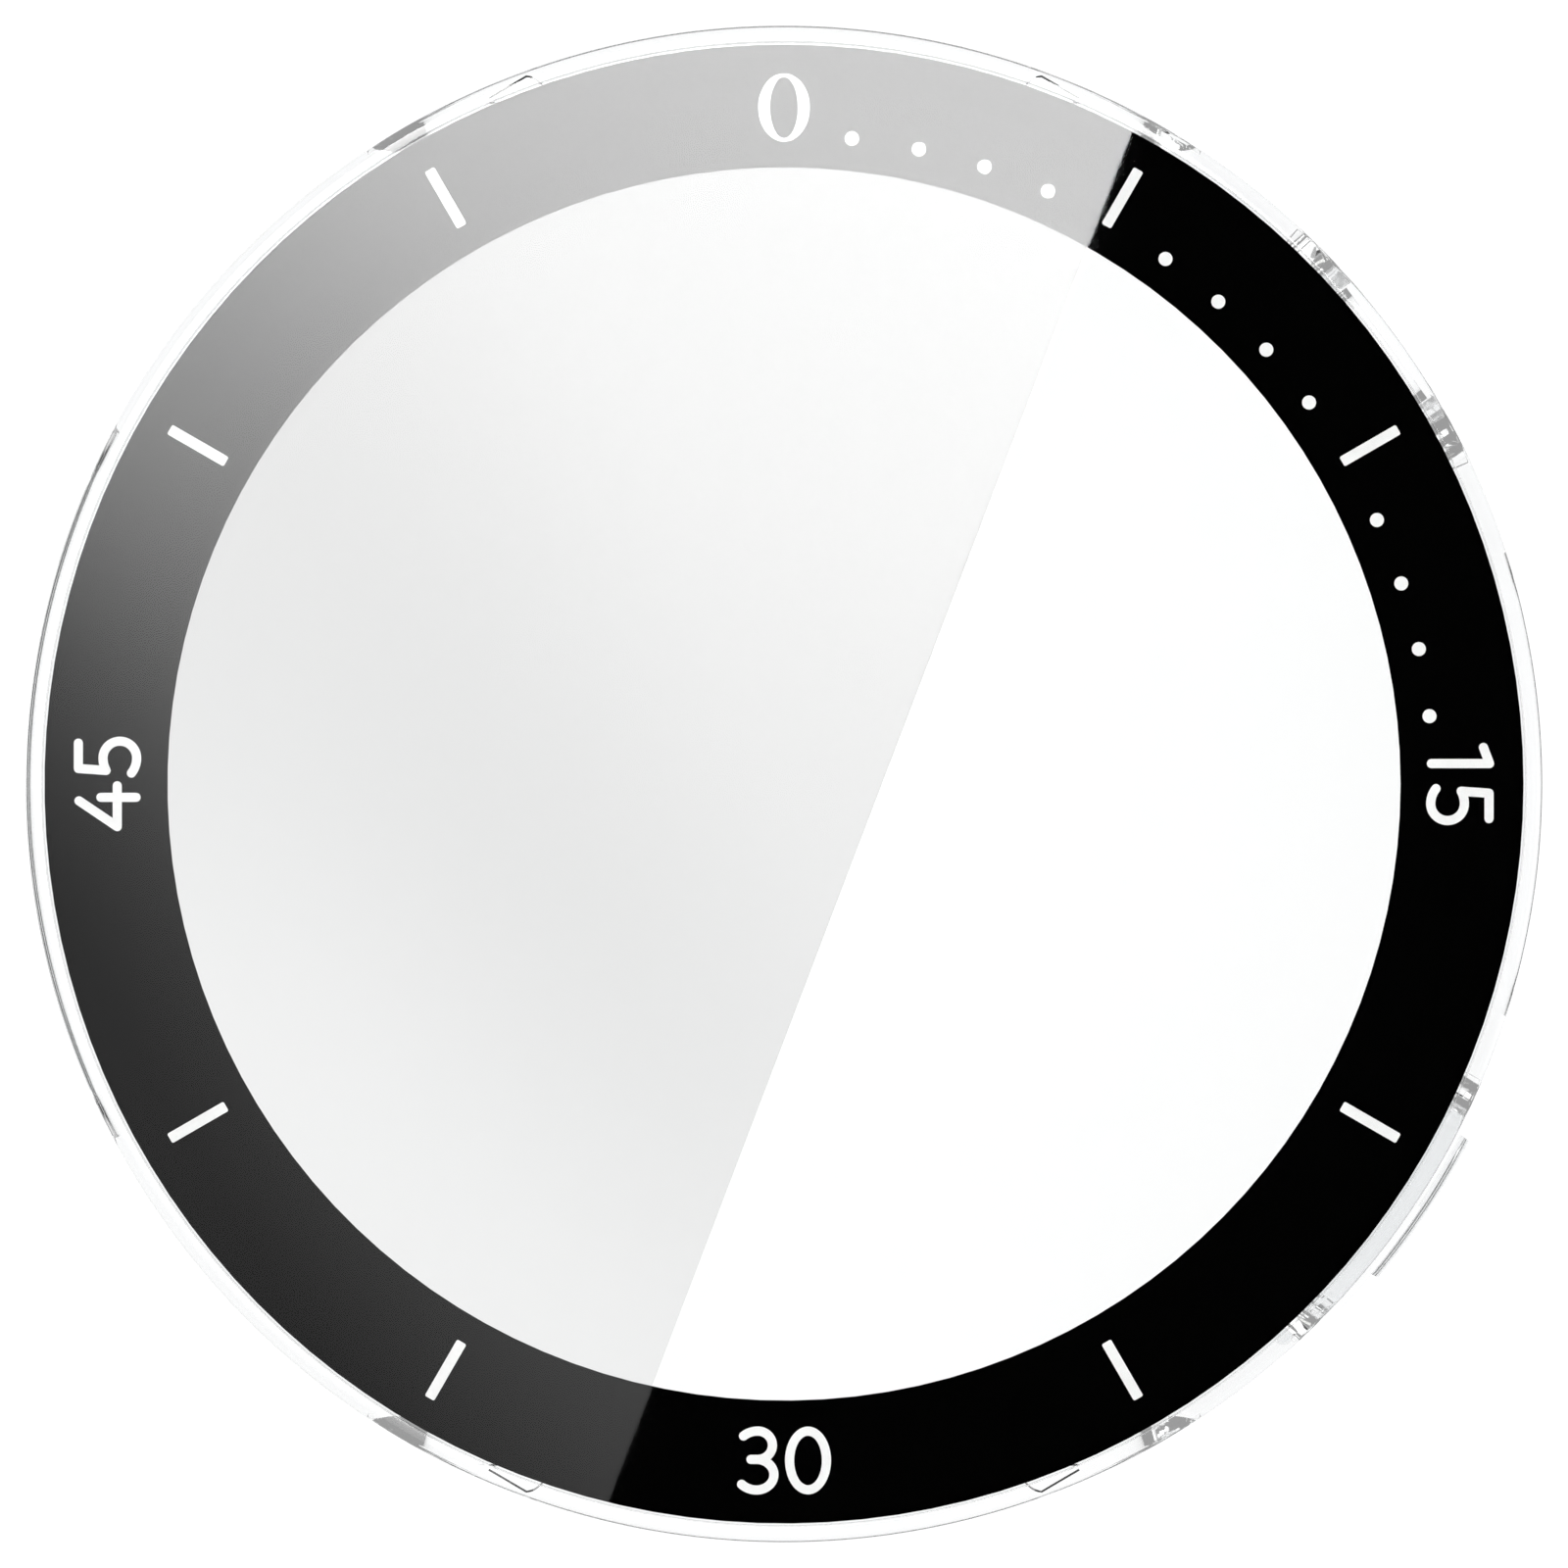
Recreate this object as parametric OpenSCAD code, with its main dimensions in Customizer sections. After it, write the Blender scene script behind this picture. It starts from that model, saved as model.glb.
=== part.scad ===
// Clear push-on bumper case for a round smartwatch, with a printed cover glass.
// Millimetres. The watch's axis is Z, and the foot of the side wall stands on Z = 0.
// The glass faces +Z, 12 o'clock is at +Y and 3 o'clock is at +X.
// Clock angles are degrees clockwise from 12 o'clock, seen from above the glass.

/* [Watch that it fits] */
// Diameter of the watch body that the case grips
watch_d = 46.0; // [44:0.5:50]
// Free space round the watch body, on the radius
watch_gap = 0.05; // [0:0.01:0.15]
// Height of the straight wall that holds the watch body
seat_h = 6.6; // [6.2:0.1:9]

/* [Shell] */
// Thickness of the side wall at the rim
wall = 1.0; // [0.9:0.05:1.4]
// How much further out the foot stands than the rim, for the draft of the mould
draft = 0.04; // [0.02:0.01:0.2]
// Thickness of the flange under the glass
flange_t = 0.85; // [0.7:0.05:1.2]
// How far the flange stays back behind the inner edge of the black ring
flange_setback = 0.6; // [0.2:0.1:1.5]
// Rounding of the flange's lower inner edge
flange_round = 0.2; // [0.1:0.05:0.4]
// Rounding of the outer edge of the rim
rim_round = 0.15; // [0.1:0.05:0.45]
// Rounding of the outer edge of the foot
foot_round = 0.3; // [0.1:0.05:0.5]
// Fillet in the corner between the side wall and the flange
seat_fillet = 0.25; // [0.1:0.05:0.4]

/* [Snap lip] */
// How far the lip at the foot reaches in under the watch body
lip_depth = 0.45; // [0.2:0.05:0.7]
// Height of the lip's straight face, measured from the foot
lip_h = 1.2; // [0.9:0.1:1.6]
// Height of the slope above the lip
lip_slope_h = 0.6; // [0.3:0.1:1]
// Lead-in chamfer below the lip
lead_in = 0.35; // [0.1:0.05:0.5]

/* [Cover glass] */
// Thickness of the glass
glass_t = 0.55; // [0.33:0.01:0.8]
// Width of the clear rim round the glass seat
rim_w = 0.5; // [0.45:0.01:0.8]
// Free space round the glass in its seat, on the radius
glass_gap = 0.05; // [0.02:0.01:0.1]
// How far the glass stands above the rim
glass_proud = 0.15; // [0:0.05:0.3]
// Rounding of the glass's upper edge
glass_round = 0.25; // [0.1:0.05:0.3]
// Rounding of the glass's lower edge
glass_under_round = 0.05; // [0.02:0.01:0.08]
// Thickness of the adhesive ring
adhesive_t = 0.1; // [0.05:0.01:0.25]
// How far the adhesive stays back from both edges of the flange
adhesive_setback = 0.15; // [0.05:0.05:0.5]

/* [Printed ring] */
// Thickness of the printed layer
print_t = 0.05; // [0.03:0.01:0.1]
// Clear margin between the print and the edge of the glass
print_margin = 0.06; // [0.02:0.01:0.3]
// Width of the black ring
ring_w = 3.9; // [3.5:0.1:5]
// Distance from the ring's inner edge to the five minute bars
bar_offset = 0.88; // [0.4:0.01:1]
// Length of a five minute bar
bar_l = 2.06; // [1:0.01:2.3]
// Width of a five minute bar
bar_w = 0.34; // [0.2:0.01:0.6]
// Rounding of the bars' corners
bar_round = 0.06; // [0.02:0.01:0.09]
// Distance from the ring's inner edge to the centres of the minute dots
dot_offset = 1.03; // [0.5:0.01:2]
// Diameter of a minute dot
dot_d = 0.445; // [0.2:0.005:0.8]

/* [Openings for the lugs and the strap] */
// Height of the band of rim and flange that crosses above every opening
band_h = 2.4; // [2:0.1:3]
// Width of each opening between the ends of the side wall
lug_w = 26.4; // [22:0.2:28]
// Radius where the ends of the side wall run into the band
lug_corner = 5; // [2:0.1:6]
// Rounding of the band's lower outer edge, above the flat top of the openings
band_round = 0.15; // [0.05:0.05:0.25]
// Clock angle, from the middle of the opening, where the lug pocket comes nearest the outside
pocket_start = 20; // [18:0.5:21]
// Clock angle, from the middle of the opening, of the lug pocket's tip
pocket_tip = 24.3; // [23:0.1:26]
// Skin left outside the pocket where it starts
pocket_skin = 0.14; // [0.1:0.01:0.3]
// Skin left outside the pocket at its tip
pocket_tip_skin = 0.37; // [0.35:0.01:0.6]
// Radius of the pocket's corner on the strap's side
pocket_corner = 0.65; // [0.3:0.05:0.8]
// Height of the pocket above the band's lower edge
pocket_h = 0.7; // [0.3:0.1:0.9]

/* [Crown notch] */
// Clock angle of the crown
crown_clock = 53.8; // [50:0.1:60]
// Width of the notch
crown_w = 9.2; // [9:0.1:10]
// Radius of the notch's round top
crown_corner = 4.4; // [2:0.1:4.8]
// Radius of the round scoop inside, which clears the crown
scoop_r = 2.95; // [2:0.05:3.2]
// How far the scoop rises into the band
scoop_h = 0.5; // [0.2:0.1:0.9]
// Skin left outside the scoop
scoop_skin = 0.33; // [0.25:0.01:0.5]

/* [Button window and lever] */
// Clock angle of the button
button_clock = 125.3; // [118:0.1:128]
// Width of the window in the side wall
window_w = 10.2; // [9.5:0.1:11]
// Height of the bar that closes the window below
window_bar_h = 1.9; // [1.6:0.1:2.2]
// Slot between the lever and the edge of the window
slot = 0.4; // [0.3:0.05:0.5]
// Thickness of the lever
lever_t = 0.7; // [0.6:0.05:0.85]
// Rounding of the lever's corners at the neck
lever_corner = 0.95; // [0.5:0.05:1.2]
// Height of the neck at the lever's root
neck_h = 1.9; // [1.5:0.1:2.1]
// Length of the neck at the lever's root
neck_l = 1.5; // [1.4:0.1:2]
// Thickness of the neck, where the lever bends
neck_t = 0.5; // [0.3:0.05:0.5]
// Radius of the rounded root that the lever turns on
root_r = 0.3; // [0.28:0.01:0.34]
// Running clearance round the root
root_gap = 0.06; // [0.04:0.01:0.1]
// Length of the push pad
pad_l = 5.7; // [4:0.1:6]
// How far the pad's middle lies from the window's middle, towards the free end
pad_shift = 0.7; // [0.5:0.1:0.9]
// How far the pad stands out from the shell
pad_out = 0.52; // [0.2:0.02:0.8]
// Height of the pad
pad_h = 2.8; // [1.5:0.1:3.2]
// Rounding of the pad's long edges
pad_round = 0.18; // [0.05:0.01:0.2]
// Slope of the pad's ends, as degrees of the clock
pad_slope = 0.7; // [0.2:0.1:1.5]
// Length of the low step between the pad and the root
step_l = 1.2; // [0.6:0.1:1.4]
// How far the low step stands out from the shell
step_out = 0.3; // [0.1:0.02:0.4]
// Length of the ridge inside, which meets the watch's button
ridge_l = 5.9; // [3:0.1:6]
// Height of the ridge
ridge_h = 2.0; // [1:0.1:3]
// Slope of the ridge's ends, as degrees of the clock
ridge_slope = 1; // [0.2:0.1:2]
// Free space between the ridge and the line of the watch body
ridge_gap = 0.08; // [0.05:0.01:0.2]

/* [Scallops in the foot] */
// Width of the scallop at 3 o'clock
right_scallop_w = 14.6; // [10:0.2:16]
// Width of the scallop at 9 o'clock
left_scallop_w = 22.2; // [16:0.2:26]
// Height of the scallops
scallop_h = 0.7; // [0.3:0.1:0.8]

/* [Hidden] */
$fn = 128;

// Extra length that lets a cut run clean past a face
over = 1;

// Radii, from the watch outwards and from the rim inwards
seat_r = watch_d / 2 + watch_gap;
lip_r = seat_r - lip_depth;
shell_r = seat_r + wall;
foot_r = shell_r + draft;
glass_seat_r = shell_r - rim_w;
glass_r = glass_seat_r - glass_gap;
print_r = glass_r - print_margin;
window_r = print_r - ring_w;
flange_r = window_r + flange_setback;

// Heights, from the foot to the top of the glass
seat_z = lip_h + lip_slope_h;
stop_z = seat_z + seat_h;
floor_z = stop_z + flange_t;
print_z = floor_z + adhesive_t;
glass_z = print_z + print_t;
glass_top_z = glass_z + glass_t;
rim_z = glass_top_z - glass_proud;
band_z = rim_z - band_h;

// Lean of the outer face, and where the edge roundings touch it
lean = atan(draft / rim_z);
function outer_r(z) = shell_r + draft * (rim_z - z) / rim_z;

// Root of the lever: a point in the middle of the wall, at the far end of the window
root_wall_r = seat_r + wall / 2;
root_x = window_w / 2;
root_y = sqrt(root_wall_r * root_wall_r - root_x * root_x);
window_mid_z = (window_bar_h + band_z) / 2;
lever_in_r = shell_r - lever_t;
lever_mid_r = shell_r - lever_t / 2;
lever_low_z = window_bar_h + slot;
lever_high_z = band_z - slot;
lever_end_x = -window_w / 2 + slot;
lever_neck_x = window_w / 2 - neck_l;

// Clock angle, from the window's middle, of a length along the shell's outer face
function along(length) = length / shell_r * 180 / PI;

function at_clock(clock, r) = [r * sin(clock), r * cos(clock)];

module turn_to(clock) {
    rotate([0, 0, -clock])
        children();
}

// Cuts a flat outline, drawn as seen from outside, straight in through the wall
module through_wall(clock, from_r, to_r) {
    turn_to(clock)
        translate([0, to_r, 0])
            rotate([90, 0, 0])
                linear_extrude(to_r - from_r)
                    children();
}

module ring(inner_r, outer_r, low_z, high_z) {
    difference() {
        translate([0, 0, low_z])
            cylinder(r = outer_r, h = high_z - low_z);
        translate([0, 0, low_z - over])
            cylinder(r = inner_r, h = high_z - low_z + 2 * over);
    }
}

// Outline of an opening that is open below and has round upper corners
module arch(width, top_z, corner, low_z) {
    translate([-width / 2, low_z])
        square([width, top_z - corner - low_z]);
    translate([-width / 2 + corner, low_z])
        square([width - 2 * corner, top_z - low_z]);
    for (side = [-1, 1])
        translate([side * (width / 2 - corner), top_z - corner])
            circle(corner);
}

// Outline of a slot with round ends
module round_slot(low, high) {
    radius = (high.y - low.y) / 2;
    translate([low.x + radius, low.y])
        square([high.x - low.x - 2 * radius, 2 * radius]);
    for (x = [low.x + radius, high.x - radius])
        translate([x, low.y + radius])
            circle(radius);
}

// Outline of a rectangle with four round corners
module round_rectangle(low, high, corner) {
    translate([low.x + corner, low.y])
        square([high.x - low.x - 2 * corner, high.y - low.y]);
    translate([low.x, low.y + corner])
        square([high.x - low.x, high.y - low.y - 2 * corner]);
    for (x = [low.x + corner, high.x - corner])
        for (y = [low.y + corner, high.y - corner])
            translate([x, y])
                circle(corner);
}

// What a rounding takes off a square corner of a profile; inward points into the material
module corner_waste(corner, radius, inward) {
    centre = corner + radius * inward;
    difference() {
        translate([min(corner.x - inward.x * over, centre.x), min(corner.y - inward.y * over, centre.y)])
            square([radius + over, radius + over]);
        translate(centre)
            circle(radius);
    }
}

// What a rounding takes off the leaning outer face, at the rim or at the foot
module outer_edge_waste(radius, at_rim) {
    centre_z = at_rim ? rim_z - radius : radius;
    centre = [outer_r(centre_z) - radius / cos(lean), centre_z];
    touch_z = centre_z + radius * sin(lean);
    difference() {
        translate([centre.x, at_rim ? touch_z : -over])
            square([radius + over, at_rim ? rim_z + over - touch_z : touch_z + over]);
        translate(centre)
            circle(radius);
    }
}

// Half section of the shell: foot, lip, wall, flange, glass seat and rim
module shell_section() {
    difference() {
        polygon([
            [foot_r, 0],
            [shell_r, rim_z],
            [glass_seat_r, rim_z],
            [glass_seat_r, floor_z],
            [flange_r, floor_z],
            [flange_r, stop_z],
            [seat_r, stop_z],
            [seat_r, seat_z],
            [lip_r, lip_h],
            [lip_r, lead_in],
            [lip_r + lead_in, 0]
        ]);
        outer_edge_waste(rim_round, true);
        outer_edge_waste(foot_round, false);
        corner_waste([flange_r, stop_z], flange_round, [1, 1]);
    }
    difference() {
        translate([seat_r - seat_fillet, stop_z - seat_fillet])
            square(seat_fillet + wall / 10);
        translate([seat_r - seat_fillet, stop_z - seat_fillet])
            circle(seat_fillet);
    }
}

// What a rounding takes off the band's lower outer edge, along the flat top of a lug opening
module band_edge_waste(clock) {
    flat_w = lug_w - 2 * lug_corner;
    intersection() {
        rotate_extrude()
            corner_waste([outer_r(band_z), band_z], band_round, [-1, 1]);
        through_wall(clock, flange_r, foot_r + over)
            translate([-flat_w / 2, band_z - over])
                square([flat_w, 2 * over]);
    }
}

// Plan of a lug pocket: one round corner, and a side that leaves the shell's outer face at a slant
module pocket_plan() {
    near = at_clock(pocket_start, shell_r - pocket_skin);
    tip = at_clock(pocket_tip, shell_r - pocket_tip_skin);
    centre = near - [0, pocket_corner];
    polygon([tip, near, centre, centre - [pocket_corner, 0], [near.x - pocket_corner, tip.y]]);
    intersection() {
        translate(centre)
            circle(pocket_corner);
        translate(centre - [pocket_corner, 0])
            square(pocket_corner);
    }
}

// Openings at 12 and 6 o'clock: a wide arch, with two lug pockets in the band above it
module lug_openings() {
    for (clock = [0, 180]) {
        through_wall(clock, flange_r, foot_r + over)
            arch(lug_w, band_z, lug_corner, -over);
        band_edge_waste(clock);
        turn_to(clock)
            for (side = [0, 1])
                mirror([side, 0, 0])
                    translate([0, 0, band_z - over])
                        linear_extrude(over + pocket_h)
                            pocket_plan();
    }
}

// Notch with a round top that lets the crown in from below, and the round scoop inside it
module crown_notch() {
    through_wall(crown_clock, flange_r, foot_r + over)
        arch(crown_w, band_z, crown_corner, -over);
    intersection() {
        through_wall(crown_clock, seat_r - over, foot_r + over)
            translate([0, band_z + scoop_h - scoop_r])
                circle(scoop_r);
        ring(seat_r - over, shell_r - scoop_skin, 0, rim_z);
    }
}

// Window for the lever, and the round socket for its root in the end of the wall
module button_window() {
    through_wall(button_clock, flange_r, foot_r + over)
        round_slot([-window_w / 2, window_bar_h], [window_w / 2, band_z]);
    turn_to(button_clock)
        translate([root_x, root_y, window_mid_z - neck_h / 2 - root_gap])
            cylinder(r = root_r + root_gap, h = neck_h + 2 * root_gap);
}

module foot_scallop(clock, width) {
    through_wall(clock, flange_r, foot_r + over)
        arch(width, scallop_h, scallop_h, -over);
}

module case_shell() {
    color([0.86, 0.90, 0.93, 0.45])
        difference() {
            rotate_extrude()
                shell_section();
            lug_openings();
            crown_notch();
            button_window();
            foot_scallop(90, right_scallop_w);
            foot_scallop(270, left_scallop_w);
        }
}

module cover_glass() {
    color([0.80, 0.88, 0.90, 0.35])
        rotate_extrude()
            difference() {
                translate([0, glass_z])
                    square([glass_r, glass_t]);
                corner_waste([glass_r, glass_top_z], glass_round, [-1, -1]);
                corner_waste([glass_r, glass_z], glass_under_round, [-1, 1]);
            }
}

module glass_adhesive() {
    color([0.93, 0.93, 0.90, 0.6])
        ring(flange_r + adhesive_setback, print_r - adhesive_setback, floor_z, print_z);
}

// One bar, lying along the radius at 12 o'clock
module bar_outline() {
    inner = window_r + bar_offset;
    round_rectangle([-bar_w / 2, inner], [bar_w / 2, inner + bar_l], bar_round);
}

// The bars stand at every fifth minute but the quarters, where the numbers are
module each_bar() {
    for (clock = [30 : 30 : 330])
        if (clock % 90 != 0)
            turn_to(clock)
                children();
}

// The dots stand at the single minutes of the first quarter
module each_dot() {
    for (clock = [6 : 6 : 84])
        if (clock % 30 != 0)
            turn_to(clock)
                translate([0, window_r + dot_offset, 0])
                    children();
}

// The black layer is left open where the white marks are
module bezel_print() {
    color([0.02, 0.02, 0.02])
        difference() {
            ring(window_r, print_r, print_z, glass_z);
            translate([0, 0, print_z - over])
                each_bar()
                    linear_extrude(print_t + 2 * over)
                        bar_outline();
            translate([0, 0, print_z - over])
                each_dot()
                    cylinder(d = dot_d, h = print_t + 2 * over);
        }
}

module five_minute_bars() {
    color([0.96, 0.96, 0.95])
        translate([0, 0, print_z])
            each_bar()
                linear_extrude(print_t)
                    bar_outline();
}

module minute_dots() {
    color([0.96, 0.96, 0.95])
        translate([0, 0, print_z])
            each_dot()
                cylinder(d = dot_d, h = print_t);
}

// Plate of the lever, flush with the shell's outer face, with a round free end
module lever_plate() {
    end_r = (lever_high_z - lever_low_z) / 2;
    intersection() {
        through_wall(button_clock, flange_r, foot_r + over) {
            round_slot([lever_end_x, lever_low_z], [lever_neck_x - lever_corner, lever_high_z]);
            round_rectangle([lever_end_x + end_r, lever_low_z], [lever_neck_x, lever_high_z], lever_corner);
        }
        ring(lever_in_r, shell_r, 0, rim_z);
    }
}

// Thin neck in the middle of the wall, and the round root at its end
module lever_neck() {
    low_z = window_mid_z - neck_h / 2;
    intersection() {
        through_wall(button_clock, flange_r, foot_r + over)
            translate([lever_neck_x - over, low_z])
                square([root_x - lever_neck_x + over, neck_h]);
        ring(root_wall_r - neck_t / 2, root_wall_r + neck_t / 2, 0, rim_z);
    }
    turn_to(button_clock)
        translate([root_x, root_y, low_z])
            cylinder(r = root_r, h = neck_h);
}

// Plan of a block on the lever, between two clock angles, with sloped ends
module sloped_plan(low_clock, high_clock, base_r, top_r, slope) {
    mid_clock = (low_clock + high_clock) / 2;
    reach = base_r < top_r ? 1.02 : 0.98;
    polygon([
        at_clock(low_clock, base_r),
        at_clock(low_clock + slope, top_r),
        at_clock(mid_clock, top_r * reach),
        at_clock(high_clock - slope, top_r),
        at_clock(high_clock, base_r)
    ]);
}

module push_pad() {
    pad_r = shell_r + pad_out;
    low_z = window_mid_z - pad_h / 2;
    high_z = window_mid_z + pad_h / 2;
    from_clock = button_clock - along(pad_shift + pad_l / 2);
    to_clock = button_clock - along(pad_shift - pad_l / 2);
    intersection() {
        rotate_extrude()
            difference() {
                translate([lever_mid_r, low_z])
                    square([pad_r - lever_mid_r, pad_h]);
                corner_waste([pad_r, high_z], pad_round, [-1, -1]);
                corner_waste([pad_r, low_z], pad_round, [-1, 1]);
            }
        linear_extrude(rim_z)
            sloped_plan(from_clock, to_clock, lever_in_r, pad_r, pad_slope);
    }
}

// Low step between the pad and the root
module pad_step() {
    step_r = shell_r + step_out;
    from_clock = button_clock - along(pad_shift);
    to_clock = button_clock + along(pad_l / 2 - pad_shift + step_l);
    intersection() {
        ring(lever_mid_r, step_r, window_mid_z - pad_h / 2, window_mid_z + pad_h / 2);
        linear_extrude(rim_z)
            sloped_plan(from_clock, to_clock, lever_in_r, step_r, 0);
    }
}

// Ridge on the inside, which meets the watch's button
module lever_ridge() {
    ridge_r = seat_r + ridge_gap;
    from_clock = button_clock - along(pad_shift + ridge_l / 2);
    to_clock = button_clock - along(pad_shift - ridge_l / 2);
    intersection() {
        ring(ridge_r, lever_mid_r, window_mid_z - ridge_h / 2, window_mid_z + ridge_h / 2);
        linear_extrude(rim_z)
            sloped_plan(from_clock, to_clock, lever_mid_r, ridge_r, ridge_slope);
    }
}

module button_lever() {
    color([0.86, 0.90, 0.93, 0.45]) {
        lever_plate();
        lever_neck();
        push_pad();
        pad_step();
        lever_ridge();
    }
}

case_shell();
cover_glass();
glass_adhesive();
bezel_print();
five_minute_bars();
minute_dots();
button_lever();
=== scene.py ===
import math

import bmesh
import bpy
from mathutils import Matrix, Vector
from mathutils.geometry import delaunay_2d_cdt


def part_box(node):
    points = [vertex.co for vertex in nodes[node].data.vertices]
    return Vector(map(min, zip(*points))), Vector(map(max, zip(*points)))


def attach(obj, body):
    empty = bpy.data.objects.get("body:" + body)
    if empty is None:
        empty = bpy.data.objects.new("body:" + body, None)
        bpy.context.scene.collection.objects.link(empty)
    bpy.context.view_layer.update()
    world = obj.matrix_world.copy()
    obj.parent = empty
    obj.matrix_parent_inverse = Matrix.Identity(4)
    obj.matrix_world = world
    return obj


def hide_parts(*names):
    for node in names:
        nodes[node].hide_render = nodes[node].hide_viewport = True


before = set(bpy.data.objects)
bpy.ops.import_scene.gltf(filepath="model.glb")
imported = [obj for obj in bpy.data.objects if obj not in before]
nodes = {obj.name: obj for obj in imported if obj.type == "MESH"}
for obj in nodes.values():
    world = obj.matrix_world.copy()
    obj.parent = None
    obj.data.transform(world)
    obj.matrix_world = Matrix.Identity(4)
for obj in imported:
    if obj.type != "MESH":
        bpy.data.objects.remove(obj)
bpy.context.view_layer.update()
MM = 0.001

# Places taken from the CAD nodes, in metres
glass_low, glass_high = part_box("cover_glass")
GLASS_R = glass_high.x
GLASS_Z = glass_low.z
GLASS_TOP = glass_high.z
PRINT_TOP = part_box("bezel_print")[1].z

# The polished glass that stands for the CAD disc
GLASS_STEPS = 360
TOP_ROUND = 0.01 * MM
UNDER_ROUND = 0.01 * MM
ROUND_STEPS = 10
FLAT_END = 0.01 * MM
BOND_DEPTH = 0.008 * MM

# The clear shell's half section, as in the CAD node that it stands for, in millimetres
SEAT_R = 23.05
WALL = 1.0
LIP_REACH = 0.45
LIP_R = SEAT_R - LIP_REACH
# The CAD solid's mesh has flats, and this keeps the smoother shell inside them
TRIM = 0.01
SHELL_R = SEAT_R + WALL - TRIM
DRAFT = 0.04
FOOT_R = SHELL_R + DRAFT
RIM_WALL = 0.5
GLASS_SEAT_R = SHELL_R - RIM_WALL
FLANGE_R = 20.14
LEAD_IN = 0.35
LIP_H = 1.2
SEAT_Z = 1.8
STOP_Z = 8.4
FLANGE_TOP_Z = 9.25
RIM_Z = 9.8
RIM_ROUND = 0.015
FOOT_ROUND = 0.16
FLANGE_ROUND = 0.2
SEAT_FILLET = 0.25
EDGE_ROUND = 0.05
SEAT_EDGE_ROUND = 0.01
SHELL_STEPS = 720

# Cutters: how far they run past what they cut, and where a cut edge is shaded as sharp
OVER = 1.0
SHARP_ANGLE = math.radians(25)

# The rounding of an opening's outer edge: the slope in degrees and the steps of the flare that
# cuts it, and how finely the flare's long sides are divided so that they follow the round wall
FLARE_END = 80
FLARE_STEPS = 5
SIDE_STEP = 0.25

# The openings' roof, the wide openings for the lugs, and the pockets beside them
BAND_Z = 7.4
BAND_ROUND = 0.15
LUG_W = 26.4
LUG_CORNER = 5.0
POCKET_NEAR = (8.178, 22.468)
POCKET_TIP = (9.745, 21.582)
POCKET_CORNER = 0.65
POCKET_TOP_Z = 8.1
POCKET_ROOF = 0.06

# The crown notch with its scoop, and the window for the button with the socket of its lever
OPENING_ROUND = 0.1
CROWN_CLOCK = 53.8
CROWN_W = 9.2
CROWN_CORNER = 4.4
SCOOP_R = 2.95
SCOOP_H = 0.5
SCOOP_SKIN = 0.33
BUTTON_CLOCK = 125.3
WINDOW_W = 10.2
WINDOW_LOW_Z = 1.9
SOCKET_R = 0.36
SOCKET_H = 2.02

# The scallops in the foot
SCALLOP_H = 0.7
SCALLOP_SLOPE = math.radians(28)
SCALLOP_CORNER = 2.0
RIGHT_SCALLOP_W = 14.6
LEFT_SCALLOP_W = 22.2
RIGHT_SCALLOP_ROUND = 0.2
LEFT_SCALLOP_ROUND = 0.34

# The clear lever, as in the CAD node that it stands for, in millimetres; its free end is round
# but for a short flat side, and the slopes of pad and ridge are degrees along the wall
LEVER_T = 0.7
LEVER_SLOT = 0.4
LEVER_CORNER = 0.95
FLAT_SIDE = 0.01
NECK_H = 1.9
NECK_L = 1.5
NECK_T = 0.5
ROOT_R = 0.3
PAD_L = 5.7
PAD_SHIFT = 0.7
PAD_OUT = 0.52
PAD_H = 2.8
PAD_TOP_ROUND = 0.1
PAD_FOOT_ROUND = 0.35
PAD_SLOPE = 0.7
STEP_L = 1.2
STEP_OUT = 0.3
RIDGE_L = 5.9
RIDGE_H = 2.0
RIDGE_SLOPE = 1
RIDGE_GAP = 0.08
LEVER_MIDDLE_Z = (WINDOW_LOW_Z + BAND_Z) / 2

# Painted glow in the clear wall, standing for light guided round in it: the count of glossy bounces
# at which it shows, how closely that count is met, and how bright it is
PAINTED_GLOW_DEPTH = 4
COUNT_REACH = 0.5
PAINTED_GLOW = 0.35

# The black ink's charcoal: how much of it shows through the glass
FRONT_SHARE = 0.009

# The numbers: centre lines of their strokes, in millimetres from the middle of each number
NUMBER_R = 21.44 * MM
STROKE = 0.29
INK_RISE = 0.003 * MM
INK_DEPTH = 0.02 * MM
ALL_TRIANGLES = 0
WELD = 1e-6

# How finely arcs, rounded corners and the round ends of strokes are divided
ARC_STEP = math.radians(5)
ARC_LEAST = 2
CORNER_STEP = math.radians(9)
ARCH_STEP = math.radians(2.5)
CORNER_LEAST = 3
CAP_STEPS = 10

# Camera: straight down on the glass, far away
PIXEL = 0.03105 * MM
PHOTO_SIDE = 1600
SENSOR = 36
LENS = 800
CLIP_END = 10

# The light table and the soft light round it
SKY_LIGHT = 2.5
SKY_SEEN = 1.1
SKY_LOW = 0.25
SKY_HIGH = 0.45
PANEL_GLOW = 1.005
FLOOR_HALF = 1.5
# The floor lies a hair below the foot, so that light gets in under the clear wall
FLOOR_Z = -0.1 * MM
FLAG_R = 80 * MM
FLAG_LOW_Z = 1 * MM
FLAG_HIGH_Z = 45 * MM
FLAG_STEPS = 96
FELT_DARK_Z = 14 * MM
FELT_GREY_Z = 24 * MM
STRIP_PLACE = (0.7, -0.1, 0.75)
STRIP_SIZE = (0.3, 0.9)
STRIP_POWER = 1

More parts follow.
